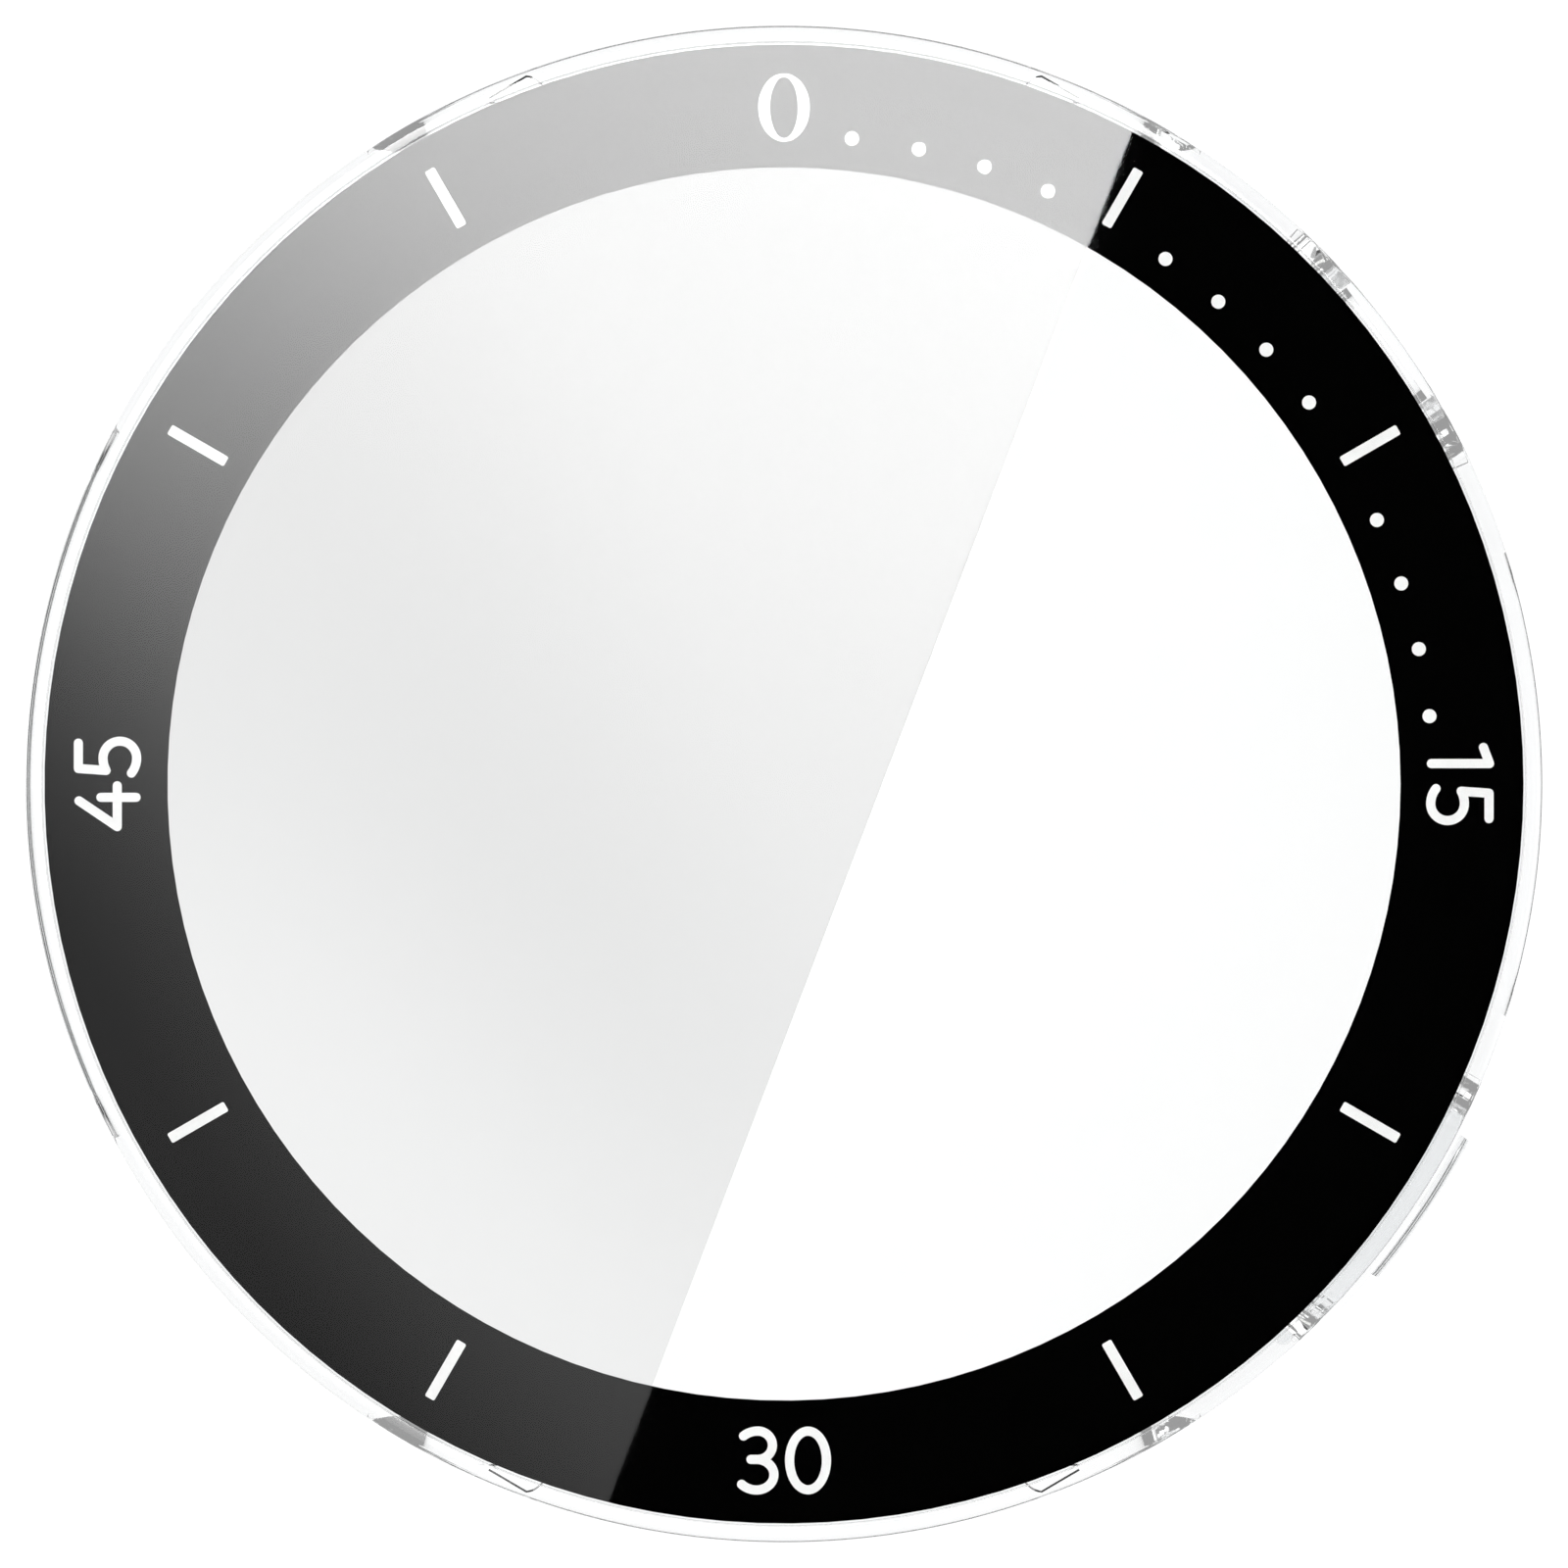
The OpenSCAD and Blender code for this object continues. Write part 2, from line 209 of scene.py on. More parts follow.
# The softbox mirrored in the glass: its straight edge as the photograph shows it, in pixels, its
# peak, and two crossed scales of its glow, each with its tilt, its two ends on the glass and tones
CARD_HEIGHT = 300 * MM
CARD_GAP = 5 * MM
CLOTH_HALF = 120 * MM
EDGE_TOP = (1155, 135)
EDGE_FOOT = (622, 1530)
GLOW_PEAK = 15.52
GLOW_FALL = (math.radians(-31), 21 * MM, -25 * MM)
GLOW_FALL_TONES = [1.0, 0.93, 0.81, 0.575, 0.35, 0.16, 0.09, 0.09, 0.063]
GLOW_SIDE = (math.radians(-60), 4 * MM, -22 * MM)
GLOW_SIDE_TONES = [0.94, 0.94, 0.9, 1.0, 0.36]

# Painted shade under the window: a grey sheet on the light table, seen only through the glass, that
# darkens the window left of the softbox's edge: its radius, and two crossed scales of what it lets
# through, each with its tilt, its two ends on the glass and its tones
SHADE_SHEET_R = 19.75 * MM
SHADE_SHEET_FALL = (math.radians(-31), 21 * MM, -25 * MM)
SHADE_SHEET_FALL_TONES = [0.41, 0.41, 0.55, 0.735, 0.9, 0.87]
SHADE_SHEET_SIDE = (math.radians(-70), 0, -20 * MM)
SHADE_SHEET_SIDE_TONES = [0.97, 0.895, 0.93, 1.0]


def photo_point(pixel):
    """The point, in metres across the glass, that the photograph shows at a pixel."""
    middle = PHOTO_SIDE / 2
    return Vector(((pixel[0] - middle) * PIXEL, (middle - pixel[1]) * PIXEL))


def link(obj):
    bpy.context.scene.collection.objects.link(obj)
    return obj


def mesh_object(name, bm):
    mesh = bpy.data.meshes.new(name)
    bm.to_mesh(mesh)
    bm.free()
    return link(bpy.data.objects.new(name, mesh))


class Nodes:
    """A material's node tree, with short calls that add a node or a link."""

    def __init__(self, name):
        self.material = bpy.data.materials.new(name)
        self.material.use_nodes = True
        self.tree = self.material.node_tree
        self.shader = self.tree.nodes["Principled BSDF"]
        self.coords = self.add("ShaderNodeTexCoord").outputs["Object"]

    def add(self, kind, **values):
        node = self.tree.nodes.new(kind)
        for name, value in values.items():
            if hasattr(node, name):
                setattr(node, name, value)
            else:
                node.inputs[name.replace("_", " ")].default_value = value
        return node

    def join(self, source, target):
        self.tree.links.new(source, target)

    def noise(self, scale, detail=3.0, stretch=None):
        """Noise over the object, in metres; stretch scales its three axes."""
        node = self.add("ShaderNodeTexNoise", Scale=scale, Detail=detail)
        source = self.coords
        if stretch:
            mapping = self.add("ShaderNodeMapping")
            mapping.inputs["Scale"].default_value = stretch
            self.join(self.coords, mapping.inputs["Vector"])
            source = mapping.outputs["Vector"]
        self.join(source, node.inputs["Vector"])
        return node.outputs["Fac"]

    def spread(self, source, low, high, start=0.3, end=0.7):
        """Maps a factor onto the range from low to high."""
        node = self.add("ShaderNodeMapRange")
        ends = {"From Min": start, "From Max": end, "To Min": low, "To Max": high}
        for name, value in ends.items():
            node.inputs[name].default_value = value
        self.join(source, node.inputs["Value"])
        return node.outputs["Result"]

    def tint(self, source, low, high):
        """Colours the surface between two tints by a factor."""
        node = self.add("ShaderNodeMix", data_type="RGBA")
        inputs = [s for s in node.inputs if s.type == "RGBA"]
        inputs[0].default_value = (*low, 1)
        inputs[1].default_value = (*high, 1)
        self.join(source, node.inputs["Factor"])
        output = [s for s in node.outputs if s.type == "RGBA"][0]
        self.join(output, self.shader.inputs["Base Color"])

    def along(self, turn, start, end, grow=1.0):
        """A factor from 0 to 1 between two places on the Y axis of coordinates turned about Z."""
        mapping = self.add("ShaderNodeMapping", vector_type="TEXTURE")
        mapping.inputs["Rotation"].default_value = (0, 0, turn)
        mapping.inputs["Scale"].default_value = (grow, grow, grow)
        self.join(self.coords, mapping.inputs["Vector"])
        split = self.add("ShaderNodeSeparateXYZ")
        self.join(mapping.outputs["Vector"], split.inputs[0])
        return self.spread(split.outputs["Y"], 0, 1, start, end)

    def greys(self, source, tones):
        """A smooth grey scale over a factor, from evenly spaced tones."""
        node = self.add("ShaderNodeValToRGB")
        node.color_ramp.interpolation = "B_SPLINE"
        stops = node.color_ramp.elements
        for i in range(1, len(tones) - 1):
            stops.new(i / (len(tones) - 1))
        for stop, tone in zip(stops, tones):
            stop.color = (tone, tone, tone, 1)
        self.join(source, node.inputs["Fac"])
        return node.outputs["Color"]

    def crossed(self, *scales):
        """The product of two grey scales."""
        both = self.add("ShaderNodeVectorMath", operation="MULTIPLY")
        for scale, target in zip(scales, both.inputs):
            self.join(scale, target)
        return both.outputs["Vector"]

    def surface(self, output):
        """Puts another shader in the place of the usual one."""
        self.join(output, self.tree.nodes["Material Output"].inputs["Surface"])

    def roughness(self, source):
        self.join(source, self.shader.inputs["Roughness"])

    def bump(self, source, distance, strength=1.0):
        node = self.add("ShaderNodeBump", Distance=distance, Strength=strength)
        self.join(source, node.inputs["Height"])
        self.join(node.outputs["Normal"], self.shader.inputs["Normal"])

    def set(self, **values):
        for name, value in values.items():
            self.shader.inputs[name.replace("_", " ")].default_value = value


def clear_plastic_with_painted_glow():
    """Polished polycarbonate: water clear, with faint flow lines and hazier patches.

    Painted glow: where a ray has made a set count of glossy bounces, the wall itself emits a soft
    grey, standing for light guided round in it.
    """
    m = Nodes("clear_polycarbonate_painted_glow")
    m.set(Transmission_Weight=1.0, IOR=1.585, Emission_Strength=PAINTED_GLOW)
    # Painted glow: emission switched on by the count of glossy bounces, not by any lamp
    painted_glow_switch = m.add("ShaderNodeMath", operation="COMPARE")
    m.join(m.add("ShaderNodeLightPath").outputs["Glossy Depth"], painted_glow_switch.inputs[0])
    painted_glow_switch.inputs[1].default_value = PAINTED_GLOW_DEPTH
    painted_glow_switch.inputs[2].default_value = COUNT_REACH
    m.join(painted_glow_switch.outputs[0], m.shader.inputs["Emission Color"])
    m.material.cycles.emission_sampling = "NONE"
    haze = m.noise(180, detail=4)
    m.tint(haze, (0.975, 0.985, 0.99), (0.995, 0.998, 1.0))
    m.roughness(m.spread(haze, 0.01, 0.045))
    m.bump(m.noise(90, detail=2, stretch=(1, 1, 0.3)), distance=0.004 * MM, strength=0.3)
    return m.material


def clear_glass():
    """Tempered glass: flat and polished, with a trace of handling marks."""
    m = Nodes("tempered_glass")
    m.set(Transmission_Weight=1.0, IOR=1.52)
    smear = m.noise(70, detail=5, stretch=(1, 2.5, 1))
    m.tint(smear, (0.985, 0.995, 0.992), (1.0, 1.0, 1.0))
    m.roughness(m.spread(smear, 0.004, 0.012))
    m.bump(m.noise(40, detail=1), distance=0.0002 * MM, strength=0.1)
    return m.material


def bonding_film():
    """Clear pressure-sensitive film, slightly milky, with fine trapped bubbles."""
    m = Nodes("bonding_film")
    m.set(Transmission_Weight=0.75, IOR=1.47)
    milk = m.noise(2500, detail=3)
    m.tint(milk, (0.86, 0.86, 0.83), (0.95, 0.95, 0.93))
    m.roughness(m.spread(milk, 0.25, 0.5))
    m.bump(m.noise(6000, detail=1), distance=0.004 * MM, strength=0.4)
    return m.material


def black_ink():
    """Screen print: dense black through the glass that it is bonded to, and a charcoal back."""
    m = Nodes("black_ink")
    m.set(Specular_IOR_Level=0.0)
    grain = m.noise(9000, detail=2)
    facing = m.add("ShaderNodeSeparateXYZ")
    m.join(m.add("ShaderNodeNewGeometry").outputs["Normal"], facing.inputs[0])
    share = m.add("ShaderNodeMath", operation="MULTIPLY")
    m.join(m.spread(facing.outputs["Z"], 1, FRONT_SHARE, start=-0.5, end=0.5), share.inputs[0])
    m.join(m.spread(grain, 0.5, 1), share.inputs[1])
    m.tint(share.outputs[0], (0, 0, 0), (0.1, 0.1, 0.104))
    m.roughness(m.spread(grain, 0.55, 0.75))
    m.bump(grain, distance=0.002 * MM, strength=0.3)
    return m.material


def white_ink():
    """White screen print, with the slight grain of the mesh."""
    m = Nodes("white_ink")
    m.set(Specular_IOR_Level=0.1)
    grain = m.noise(8000, detail=2)
    m.tint(grain, (0.90, 0.90, 0.89), (0.96, 0.96, 0.955))
    m.roughness(m.spread(grain, 0.5, 0.7))
    m.bump(grain, distance=0.002 * MM, strength=0.3)
    return m.material


def dress(name, material):
    """Gives a CAD node a finish through its object's material slots."""
    for slot in nodes[name].material_slots:
        slot.link = "OBJECT"
        slot.material = material


def soft_corner(before, corner, after, radius, step=CORNER_STEP):
    """Points of the arc that rounds one corner of an outline."""
    if not radius:
        return [corner]
    way_in, way_out = (corner - before).normalized(), (after - corner).normalized()
    turn = math.atan2(way_in.cross(way_out), way_in.dot(way_out))
    reach = radius * math.tan(abs(turn) / 2)
    start = corner - way_in * reach
    side = math.copysign(1, turn)
    centre = start + Vector((-way_in.y, way_in.x)) * radius * side
    count = max(CORNER_LEAST, round(abs(turn) / step))
    spoke = start - centre
    return [centre + Matrix.Rotation(turn * i / count, 2) @ spoke for i in range(count + 1)]


def soft_outline(corners, step=CORNER_STEP):
    """A closed outline from corners given as x, y and rounding."""
    points = [Vector(c[:2]) for c in corners]
    outline = []
    for i, corner in enumerate(points):
        after = points[(i + 1) % len(points)]
        outline += soft_corner(points[i - 1], corner, after, corners[i][2], step)
    return outline


def round_ring(bm, r, z, steps):
    """A ring of points round Z, in metres."""
    angles = [2 * math.pi * i / steps for i in range(steps)]
    return [bm.verts.new((r * math.cos(a), r * math.sin(a), z)) for a in angles]


def bridge(bm, rings):
    """Faces between each ring of points and the next."""
    for low, high in zip(rings, rings[1:]):
        for i in range(len(low)):
            j = (i + 1) % len(low)
            bm.faces.new((low[i], low[j], high[j], high[i]))


def turned(name, outline, steps):
    """A ring: a closed half section, in millimetres, turned about Z."""
    bm = bmesh.new()
    rings = [round_ring(bm, p.x * MM, p.y * MM, steps) for p in outline]
    bridge(bm, rings + rings[:1])
    return mesh_object(name, bm)


def prism(rows):
    """A closed solid through a row of outlines with the same number of points, in millimetres."""
    bm = bmesh.new()
    rings = [[bm.verts.new(p * MM) for p in row] for row in rows]
    bm.faces.new(rings[0])
    bm.faces.new(rings[-1][::-1])
    for low, high in zip(rings, rings[1:]):
        for i in range(len(low)):
            j = (i + 1) % len(low)
            bm.faces.new((low[j], low[i], high[i], high[j]))
    bmesh.ops.recalc_face_normals(bm, faces=bm.faces[:])
    return mesh_object("cutter", bm)


def grown(outline, reach):
    """An anticlockwise outline with its points moved outwards."""
    before, after = outline[-1:] + outline, outline[1:] + outline[:1]
    ways = [(b - a).normalized() for a, b in zip(before, after)]
    return [p + Vector((way.y, -way.x)) * reach for p, way in zip(outline, ways)]


def divided(outline):
    """A closed outline with its sides divided, so that its points can follow the round wall."""
    points = []
    for start, end in zip(outline, outline[1:] + outline[:1]):
        count = math.ceil((end - start).length / SIDE_STEP)
        points += [start.lerp(end, i / count) for i in range(count)]
    return points


def wall_r(z):
    """The outer radius of the wall, which leans out towards the foot."""
    return SHELL_R + (FOOT_R - SHELL_R) * (RIM_Z - z) / RIM_Z


def wall_cutter(clock, outline, low_r=FLANGE_R, high_r=FOOT_R + OVER, edge=0):
    """A cutter that runs straight in through the wall and can round its opening's outer edge.

    The outline is drawn across and upwards, anticlockwise.
    """
    turn = Matrix.Rotation(-math.radians(clock), 3, "Z")
    outline = divided(outline) if edge else outline
    rows = [[Vector((p.x, low_r, p.y)) for p in outline]]
    for i in range(FLARE_STEPS + 1 if edge else 0):
        angle = math.radians(FLARE_END) * i / FLARE_STEPS
        wide = grown(outline, edge * (1 - math.cos(angle)))
        sunk = edge * (1 - math.sin(angle))
        depths = [math.sqrt(wall_r(p.y) ** 2 - p.x ** 2) - sunk for p in wide]
        rows.append([Vector((p.x, depth, p.y)) for p, depth in zip(wide, depths)])
    rows.append([Vector((p.x, high_r, p.z)) for p in rows[-1]])
    return prism([[turn @ p for p in row] for row in rows])


def upright_cutter(outline, low_z, high_z, edge=0):
    """An upright cutter, whose roof can slope down along its edge."""
    outline = divided(outline) if edge else outline
    rows = [(outline, low_z), (outline, high_z - edge)]
    if edge:
        rows.append((grown(outline, -edge), high_z))
    return prism([[Vector((p.x, p.y, z)) for p in row] for row, z in rows])


def arch(width, top_z, corner):
    """Outline of an opening that is open at the foot, with round upper corners."""
    half = width / 2
    corners = [(-half, -OVER, 0), (half, -OVER, 0), (half, top_z, corner), (-half, top_z, corner)]
    return soft_outline(corners, ARCH_STEP)


def scallop(width):
    """A shallow hollow in the foot, with gently sloping ends."""
    half, run = width / 2, 1 / math.tan(SCALLOP_SLOPE)
    corners = [(half + OVER * run, -OVER, 0), (half - SCALLOP_H * run, SCALLOP_H, SCALLOP_CORNER)]
    mirrored = [(-x, z, corner) for x, z, corner in reversed(corners)]
    return soft_outline(corners + mirrored, ARCH_STEP)


def round_slot(width, low_z, high_z):
    """Outline of a slot with two half round ends."""
    radius, middle = (high_z - low_z) / 2, (high_z + low_z) / 2
    reach = width / 2 - radius
    right = arc((reach, middle), (radius, radius), -90, 90)
    left = arc((-reach, middle), (radius, radius), 90, 270)
    return right + left


def shell_section():
    """Half section, anticlockwise from the foot: wall, rim, glass seat, flange and lip."""
    return soft_outline([
        (FOOT_R, 0, FOOT_ROUND),
        (SHELL_R, RIM_Z, RIM_ROUND),
        (GLASS_SEAT_R, RIM_Z, SEAT_EDGE_ROUND),
        (GLASS_SEAT_R, FLANGE_TOP_Z, SEAT_EDGE_ROUND),
        (FLANGE_R, FLANGE_TOP_Z, EDGE_ROUND),
        (FLANGE_R, STOP_Z, FLANGE_ROUND),
        (SEAT_R, STOP_Z, SEAT_FILLET),
        (SEAT_R, SEAT_Z, EDGE_ROUND),
        (LIP_R, LIP_H, EDGE_ROUND),
        (LIP_R, LEAD_IN, EDGE_ROUND),
        (LIP_R + LEAD_IN, 0, EDGE_ROUND),
    ])


def pocket_outline(side):
    """Plan of a lug pocket, with a round corner and a slanting side."""
    near, tip = Vector(POCKET_NEAR), Vector(POCKET_TIP)
    inner = near.x - POCKET_CORNER
    corner = soft_corner(near, Vector((inner, near.y)), Vector((inner, tip.y)), POCKET_CORNER)
    return [Vector((p.x * side, p.y)) for p in [tip] + corner + [Vector((inner, tip.y))]]


def lug_cutters():
    """The two wide openings for the lugs and strap, and the four pockets in their roofs."""
    opening = arch(LUG_W, BAND_Z, LUG_CORNER)
    cutters = [wall_cutter(clock, opening, edge=BAND_ROUND) for clock in (0, 180)]
    for side in (-1, 1):
        for half_turn in (-1, 1):
            plan = [p * half_turn for p in pocket_outline(side)]
            if signed_area(plan) < 0:
                plan.reverse()
            cutters.append(upright_cutter(plan, BAND_Z - OVER, POCKET_TOP_Z, POCKET_ROOF))
    return cutters


def crown_cutters():
    """The notch for the crown, and the round scoop inside the wall above it."""
    scoop = arc((0, BAND_Z + SCOOP_H - SCOOP_R), (SCOOP_R, SCOOP_R), 0, 360)[:-1]
    return [
        wall_cutter(CROWN_CLOCK, arch(CROWN_W, BAND_Z, CROWN_CORNER), edge=OPENING_ROUND),
        wall_cutter(CROWN_CLOCK, scoop, SEAT_R - OVER, SHELL_R - SCOOP_SKIN),
    ]


def button_cutters():
    """The window for the lever, and the round socket for its root in the end of the wall."""
    half = SOCKET_H / 2
    return [
        wall_cutter(BUTTON_CLOCK, round_slot(WINDOW_W, WINDOW_LOW_Z, BAND_Z), edge=OPENING_ROUND),
        upright_cutter(root_circle(SOCKET_R), LEVER_MIDDLE_Z - half, LEVER_MIDDLE_Z + half),
    ]


def scallop_cutters():
    """The two shallow hollows in the foot, at 3 and 9 o'clock."""
    places = (
        (90, RIGHT_SCALLOP_W, RIGHT_SCALLOP_ROUND),
        (270, LEFT_SCALLOP_W, LEFT_SCALLOP_ROUND),
    )
    return [wall_cutter(clock, scallop(width), edge=edge) for clock, width, edge in places]


def cut(body, cutters, operation="DIFFERENCE"):
    """Applies the cutters to a body and shades it smooth up to its edges."""
    for cutter in cutters:
        step = body.modifiers.new("cut", "BOOLEAN")
        step.solver = "MANIFOLD"
        step.operation = operation
        step.object = cutter
    graph = bpy.context.evaluated_depsgraph_get()
    mesh = bpy.data.meshes.new_from_object(body.evaluated_get(graph))
    body.modifiers.clear()
    body.data = mesh
    for cutter in cutters:
        bpy.data.objects.remove(cutter)
    mesh.shade_smooth()
    mesh.set_sharp_from_angle(angle=SHARP_ANGLE)


def case_shell(material):
    """The clear moulding, with all its openings."""
    shell = turned("moulded_shell", shell_section(), SHELL_STEPS)
    cut(shell, lug_cutters() + crown_cutters() + button_cutters() + scallop_cutters())
    shell.data.materials.clear()
    shell.data.materials.append(material)
    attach(shell, "case")
    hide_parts("case_shell")


def ring_part(low_r, high_r, height, plan, roundings=(0, 0)):
    """A stretch of a ring round the lever's middle height, cut to a plan."""
    low_z, high_z = LEVER_MIDDLE_Z - height / 2, LEVER_MIDDLE_Z + height / 2
    body = turned("ring_part", soft_outline([
        (low_r, low_z, 0),
        (high_r, low_z, roundings[0]),
        (high_r, high_z, roundings[1]),
        (low_r, high_z, 0),
    ]), SHELL_STEPS)
    cut(body, [plan], "INTERSECT")
    return body


def along_shell(length):
    """The clock angle, from the window's middle, of a length along the shell."""
    return math.degrees(length / SHELL_R)


def sloped_plan(start, end, base_r, top_r, slope):
    """Plan of a block between two lengths along the shell, with sloped ends."""
    low, high = (BUTTON_CLOCK + along_shell(length) for length in (start, end))
    far_r = top_r + (OVER if top_r > base_r else -OVER)
    corners = [(low, base_r), (low + slope, top_r), (low + slope, far_r),
               (high - slope, far_r), (high - slope, top_r), (high, base_r)]
    turns = [(math.radians(clock), r) for clock, r in corners]
    plan = [Vector((r * math.sin(angle), r * math.cos(angle))) for angle, r in turns]
    return upright_cutter(plan, 0, RIM_Z)


def lever_plate():
    """The lever's curved plate, which fills the window but for a slot all round."""
    end_r = (BAND_Z - WINDOW_LOW_Z) / 2 - LEVER_SLOT
    left, right = -WINDOW_W / 2 + LEVER_SLOT, WINDOW_W / 2 - NECK_L
    low_z, high_z = WINDOW_LOW_Z + LEVER_SLOT, BAND_Z - LEVER_SLOT
    outline = soft_outline([
        (left, low_z, end_r - FLAT_SIDE),
        (right, low_z, LEVER_CORNER),
        (right, high_z, LEVER_CORNER),
        (left, high_z, end_r - FLAT_SIDE),
    ], ARCH_STEP)
    return ring_part(SHELL_R - LEVER_T, SHELL_R, high_z - low_z, wall_cutter(BUTTON_CLOCK, outline))


def lever_neck():
    """The thin neck from the plate into the wall, and the round root that it turns on."""
    start, end = WINDOW_W / 2 - NECK_L - OVER, WINDOW_W / 2
    low_z, high_z = LEVER_MIDDLE_Z - NECK_H / 2, LEVER_MIDDLE_Z + NECK_H / 2
    middle_r = SEAT_R + WALL / 2
    plan = wall_cutter(BUTTON_CLOCK, line((start, 0), (end, 0), (end, RIM_Z), (start, RIM_Z)))
    neck = ring_part(middle_r - NECK_T / 2, middle_r + NECK_T / 2, NECK_H, plan)
    return neck, upright_cutter(root_circle(ROOT_R), low_z, high_z)


def root_circle(radius):
    """Plan of the lever's round root, or of its socket."""
    x = WINDOW_W / 2
    y = math.sqrt((SEAT_R + WALL / 2) ** 2 - x ** 2)
    turn = Matrix.Rotation(-math.radians(BUTTON_CLOCK), 2)
    return [turn @ p for p in arc((x, y), (radius, radius), 0, 360)[:-1]]


def button_lever(material):
    """The clear push lever: plate, neck, root, pad, low step and inner ridge."""
    inner_r, middle_r = SHELL_R - LEVER_T, SHELL_R - LEVER_T / 2
    pad_r, step_r, ridge_r = SHELL_R + PAD_OUT, SHELL_R + STEP_OUT, SEAT_R + RIDGE_GAP
    pad_start, pad_end = -PAD_SHIFT - PAD_L / 2, PAD_L / 2 - PAD_SHIFT
    ridge_start, ridge_end = -PAD_SHIFT - RIDGE_L / 2, RIDGE_L / 2 - PAD_SHIFT
    lever = lever_plate()
    lever.name = "moulded_lever"
    pad_plan = sloped_plan(pad_start, pad_end, inner_r, pad_r, PAD_SLOPE)
    step_plan = sloped_plan(-PAD_SHIFT, pad_end + STEP_L, inner_r, step_r, 0)
    ridge_plan = sloped_plan(ridge_start, ridge_end, middle_r, ridge_r, RIDGE_SLOPE)
    cut(lever, [
        *lever_neck(),
        ring_part(middle_r, pad_r, PAD_H, pad_plan, (PAD_FOOT_ROUND, PAD_TOP_ROUND)),
        ring_part(middle_r, step_r, PAD_H, step_plan),
        ring_part(ridge_r, middle_r, RIDGE_H, ridge_plan),
    ], "UNION")
    lever.data.materials.clear()
    lever.data.materials.append(material)
    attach(lever, "button")
    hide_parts("button_lever")


def lathe(name, profile, steps):
    """A closed solid turned about Z from its half section, whose two ends lie on the axis."""
    bm = bmesh.new()
    foot, top = [bm.verts.new((0, 0, profile[i][1])) for i in (0, -1)]
    rings = [round_ring(bm, r, z, steps) for r, z in profile[1:-1]]
    bridge(bm, rings)
    for i in range(steps):
        j = (i + 1) % steps
        bm.faces.new((foot, rings[0][j], rings[0][i]))
        bm.faces.new((top, rings[-1][i], rings[-1][j]))
    for face in bm.faces:
        face.smooth = True
    return mesh_object(name, bm)


def quarter(centre, radius, start):
    """Points of a quarter circle in the half section, anticlockwise from an angle."""
    angles = [start + math.pi / 2 * i / ROUND_STEPS for i in range(ROUND_STEPS + 1)]
    return [(centre[0] + radius * math.cos(a), centre[1] + radius * math.sin(a)) for a in angles]


def cover_glass(material):
    """The glass with a finer rounded edge; its underside sinks into the ink bonded to it."""
    under = GLASS_Z - BOND_DEPTH
    low = (GLASS_R - UNDER_ROUND, under + UNDER_ROUND)
    high = (GLASS_R - TOP_ROUND, GLASS_TOP - TOP_ROUND)
    profile = [(0, under), (low[0] - FLAT_END, under)] + quarter(low, UNDER_ROUND, -math.pi / 2)
    profile += [(GLASS_R, low[1] + FLAT_END), (GLASS_R, high[1] - FLAT_END)]
    profile += quarter(high, TOP_ROUND, 0) + [(high[0] - FLAT_END, GLASS_TOP), (0, GLASS_TOP)]
    glass = lathe("polished_cover_glass", profile, GLASS_STEPS)
    glass.data.materials.append(material)
    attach(glass, "case")
    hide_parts("cover_glass")


def arc(centre, radii, start, end):
    """Points along an ellipse's arc, from one angle to another in degrees."""
    (x, y), (wide, high) = centre, radii
    steps = max(ARC_LEAST, round(abs(math.radians(end - start)) / ARC_STEP))
    angles = [math.radians(start + (end - start) * i / steps) for i in range(steps + 1)]
    return [Vector((x + wide * math.cos(a), y + high * math.sin(a))) for a in angles]


def flat_arc(top, reach, drop, low):
    """A shallow arc that runs left from the top or foot of a bowl and falls or rises by drop."""
    radius = (reach ** 2 + drop ** 2) / (2 * drop)
    turn = math.degrees(math.asin(reach / radius))
    if low:
        return arc((top[0], top[1] + radius), (radius, radius), 270, 270 - turn)
    return arc((top[0], top[1] - radius), (radius, radius), 90 + turn, 90)


def line(*points):
    return [Vector(p) for p in points]


def figure_three():
    """Two bowls with a short bar between them."""
    upper, upper_radii = (-0.833, 0.483), (0.466, 0.449)
    lower, lower_radii = (-0.873, -0.451), (0.553, 0.485)
    top = (upper[0], upper[1] + upper_radii[1])
    foot = (lower[0], lower[1] - lower_radii[1])
    return [
        flat_arc(top, reach=0.45, drop=0.155, low=False) + arc(upper, upper_radii, 90, -90)[1:],
        arc(lower, lower_radii, 90, -90) + flat_arc(foot, reach=0.472, drop=0.18, low=True)[1:],
        line((-1.047, 0.034), (-0.80, 0.034)),
    ]


def figure_five(left, top):
    """A roof, a leaning side and a bowl, from the roof's left end."""
    corner = (left, top)
    side_foot = (left - 0.062, top - 0.876)
    bowl, radius = (left + 0.332, top - 1.314), 0.534
    crown = (bowl[0], bowl[1] + radius)
    foot = (bowl[0], bowl[1] - radius)
    return [
        line(corner, (left + 0.805, top)),
        line(corner, side_foot),
        flat_arc(crown, reach=crown[0] - side_foot[0], drop=0.10, low=False)
        + arc(bowl, (radius, radius), 90, -90)[1:]
        + flat_arc(foot, reach=0.478, drop=0.168, low=True)[1:],
    ]


def figure_one():
    """An upright with a short flag."""
    top, flag = (-0.648, 0.92), (-1.159, 0.727)
    return [line(top, (top[0], -top[1])), line(top, flag)]


def figure_four():
    """A slope, a crossbar and a stem that starts under the apex."""
    apex, corner = (-0.534, 0.904), (-1.352, -0.308)
    bar_end, stem, stem_top = -0.056, -0.423, 0.211
    return [
        line(apex, corner),
        line(corner, (bar_end, corner[1])),
        line((stem, stem_top), (stem, -apex[1])),
    ]


